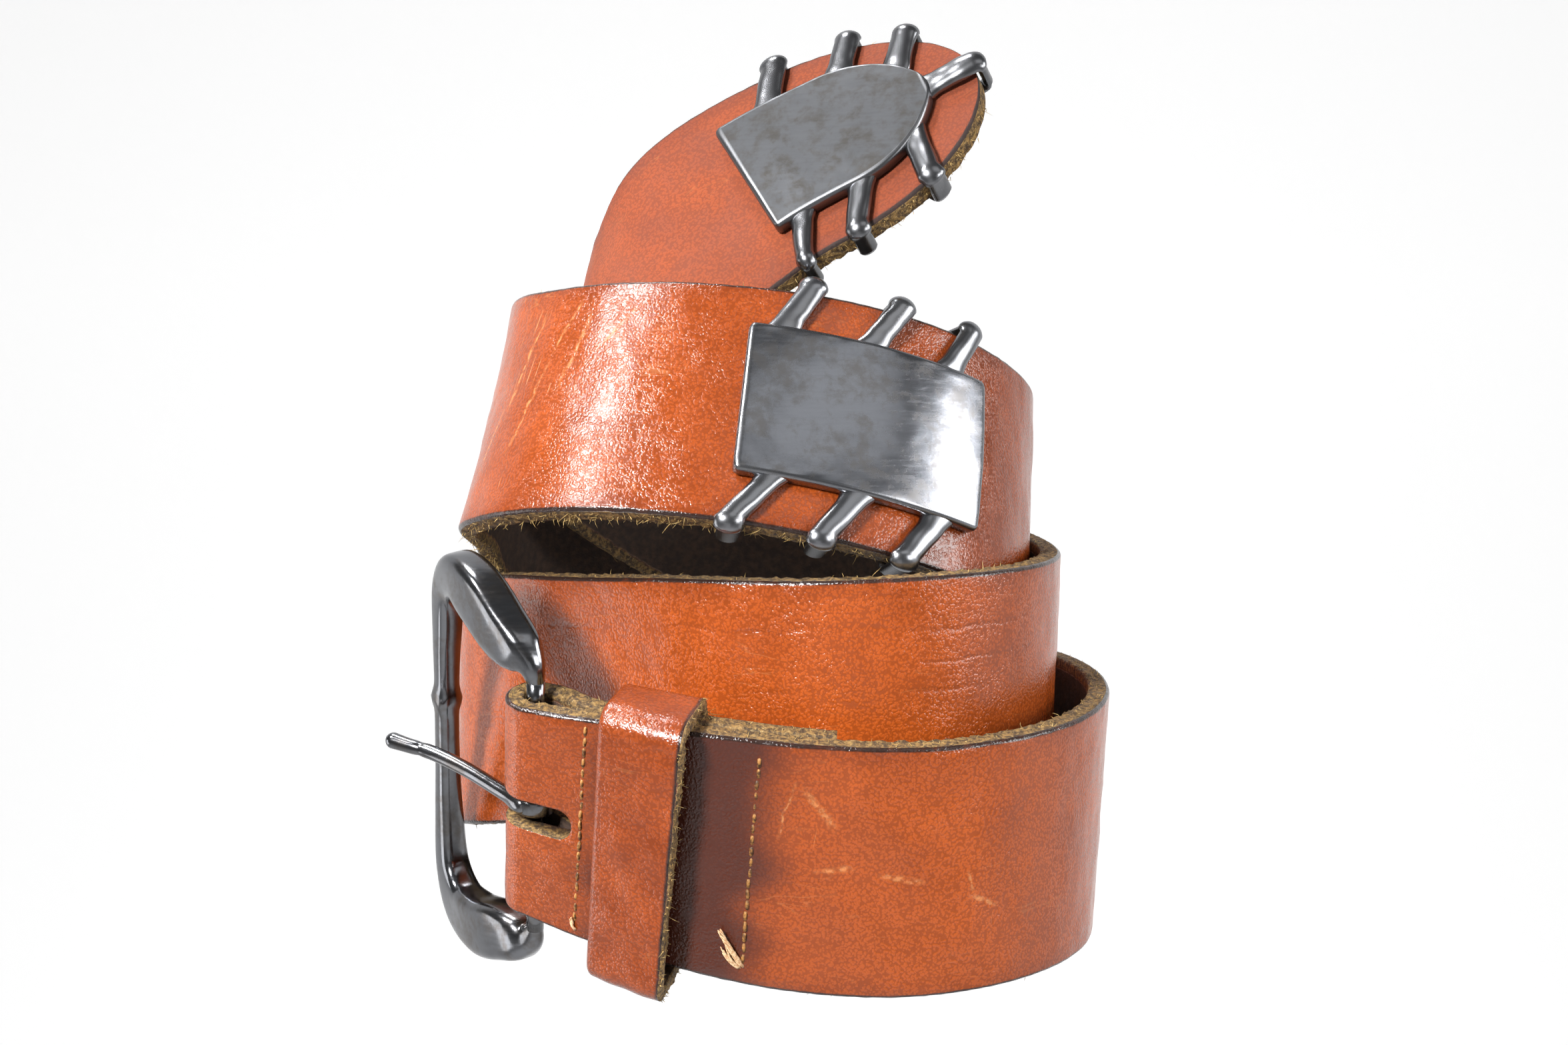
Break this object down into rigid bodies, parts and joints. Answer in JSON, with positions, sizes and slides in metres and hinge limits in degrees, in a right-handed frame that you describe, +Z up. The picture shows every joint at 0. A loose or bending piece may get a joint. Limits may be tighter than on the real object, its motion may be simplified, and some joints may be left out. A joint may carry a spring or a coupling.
{
  "type": "leather belt",
  "caption": "Plain tan leather belt wound into a rising coil, with a cast metal buckle, a leather keeper and clawed metal ornaments near its rounded tip.",
  "frame": {"origin": "on the coil's upright axis, level with the lowest edge of the strap, where a hand holds the coil", "axes": "+Z up, along which the coil rises; +X to the right as seen from the front; +Y away from the front, so the buckle's side of the coil faces -Y"},
  "size_m": [0.0997, 0.0944, 0.1331],
  "materials": {
    "strap_leather": "smooth waxed leather with a fine grain, slightly glossy",
    "keeper_leather": "smooth waxed leather, slightly glossy",
    "buckle_gunmetal": "polished gunmetal plating, lightly tarnished",
    "ornament_gunmetal": "polished gunmetal plating, mottled with tarnish"
  },
  "bodies": {
    "belt": {"strap": "strap_leather", "keeper_loop": "keeper_leather", "waist_plate": "ornament_gunmetal", "tip_plate": "ornament_gunmetal"},
    "frame": {"buckle_frame": "buckle_gunmetal"},
    "prong": {"buckle_prong": "buckle_gunmetal"}
  },
  "joints": [
    {"name": "buckle_swing", "type": "hinge", "parent": "belt", "child": "frame", "pos_m": [-0.03291, -0.03252, 0.02829], "axis": [0.0417, -0.4487, 0.8927], "range_deg": [0, 75]},
    {"name": "prong_swing", "type": "hinge", "parent": "frame", "child": "prong", "pos_m": [-0.03291, -0.03252, 0.02829], "axis": [0.0417, -0.4487, 0.8927], "range_deg": [-6, 45]}
  ]
}
